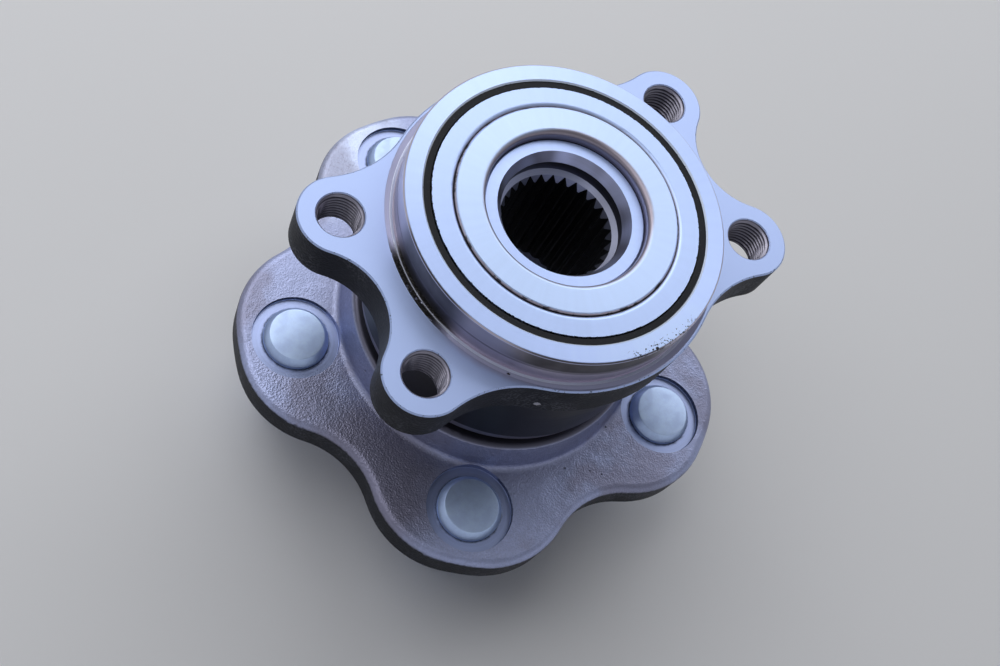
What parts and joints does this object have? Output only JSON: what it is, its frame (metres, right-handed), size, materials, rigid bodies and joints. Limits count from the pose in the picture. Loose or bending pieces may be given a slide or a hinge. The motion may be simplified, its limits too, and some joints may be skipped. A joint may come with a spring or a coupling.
{
  "type": "wheel hub bearing",
  "caption": "Driven wheel hub bearing: a lobed stud flange turning on two rows of balls in a ring bolted to the knuckle.",
  "frame": {"origin": "centre of the wheel-stud circle on the wheel mounting face", "axes": "+Z along the hub axis from the wheel side to the knuckle side, +X along the long side of the knuckle bolt rectangle"},
  "size_m": [0.1431, 0.1392, 0.1132],
  "materials": {
    "forged_steel": "shot-blasted forging with ground spindle",
    "machined_steel": "ground and turned",
    "bearing_steel": "ground",
    "plated_steel": "dull zinc",
    "ball_steel": "lapped",
    "cage_nylon": "moulded glass-filled nylon",
    "seal_steel": "pressed sheet",
    "seal_rubber": "matt"
  },
  "bodies": {
    "knuckle_side": {"outer_ring": "machined_steel", "inboard_seal_case": "seal_steel", "inboard_seal_lips": "seal_rubber", "outboard_seal_case": "seal_steel", "outboard_seal_lips": "seal_rubber"},
    "wheel_side": {"hub": "forged_steel", "inner_ring": "bearing_steel", "inboard_slinger": "seal_steel", "wheel_stud_1": "plated_steel", "wheel_stud_2": "plated_steel", "wheel_stud_3": "plated_steel", "wheel_stud_4": "plated_steel", "wheel_stud_5": "plated_steel"},
    "outboard_ball_set": {"outboard_cage": "cage_nylon", "outboard_ball_01": "ball_steel", "outboard_ball_02": "ball_steel", "outboard_ball_03": "ball_steel", "outboard_ball_04": "ball_steel", "outboard_ball_05": "ball_steel", "outboard_ball_06": "ball_steel", "outboard_ball_07": "ball_steel", "outboard_ball_08": "ball_steel", "outboard_ball_09": "ball_steel", "outboard_ball_10": "ball_steel", "outboard_ball_11": "ball_steel", "outboard_ball_12": "ball_steel", "outboard_ball_13": "ball_steel", "outboard_ball_14": "ball_steel", "outboard_ball_15": "ball_steel"},
    "inboard_ball_set": {"inboard_cage": "cage_nylon", "inboard_ball_01": "ball_steel", "inboard_ball_02": "ball_steel", "inboard_ball_03": "ball_steel", "inboard_ball_04": "ball_steel", "inboard_ball_05": "ball_steel", "inboard_ball_06": "ball_steel", "inboard_ball_07": "ball_steel", "inboard_ball_08": "ball_steel", "inboard_ball_09": "ball_steel", "inboard_ball_10": "ball_steel", "inboard_ball_11": "ball_steel", "inboard_ball_12": "ball_steel", "inboard_ball_13": "ball_steel", "inboard_ball_14": "ball_steel", "inboard_ball_15": "ball_steel"}
  },
  "joints": [
    {"name": "hub_spin", "type": "hinge", "parent": "knuckle_side", "child": "wheel_side", "pos_m": [0, 0, 0], "axis": [0, 0, 1], "continuous": true},
    {"name": "outboard_cage_spin", "type": "hinge", "parent": "knuckle_side", "child": "outboard_ball_set", "pos_m": [0, 0, 0.041], "axis": [0, 0, 1], "continuous": true},
    {"name": "inboard_cage_spin", "type": "hinge", "parent": "knuckle_side", "child": "inboard_ball_set", "pos_m": [0, 0, 0.063], "axis": [0, 0, 1], "continuous": true}
  ],
  "couplings": [
    {"joint": "outboard_cage_spin", "follows": "hub_spin", "ratio": 0.4292},
    {"joint": "inboard_cage_spin", "follows": "hub_spin", "ratio": 0.4292}
  ]
}
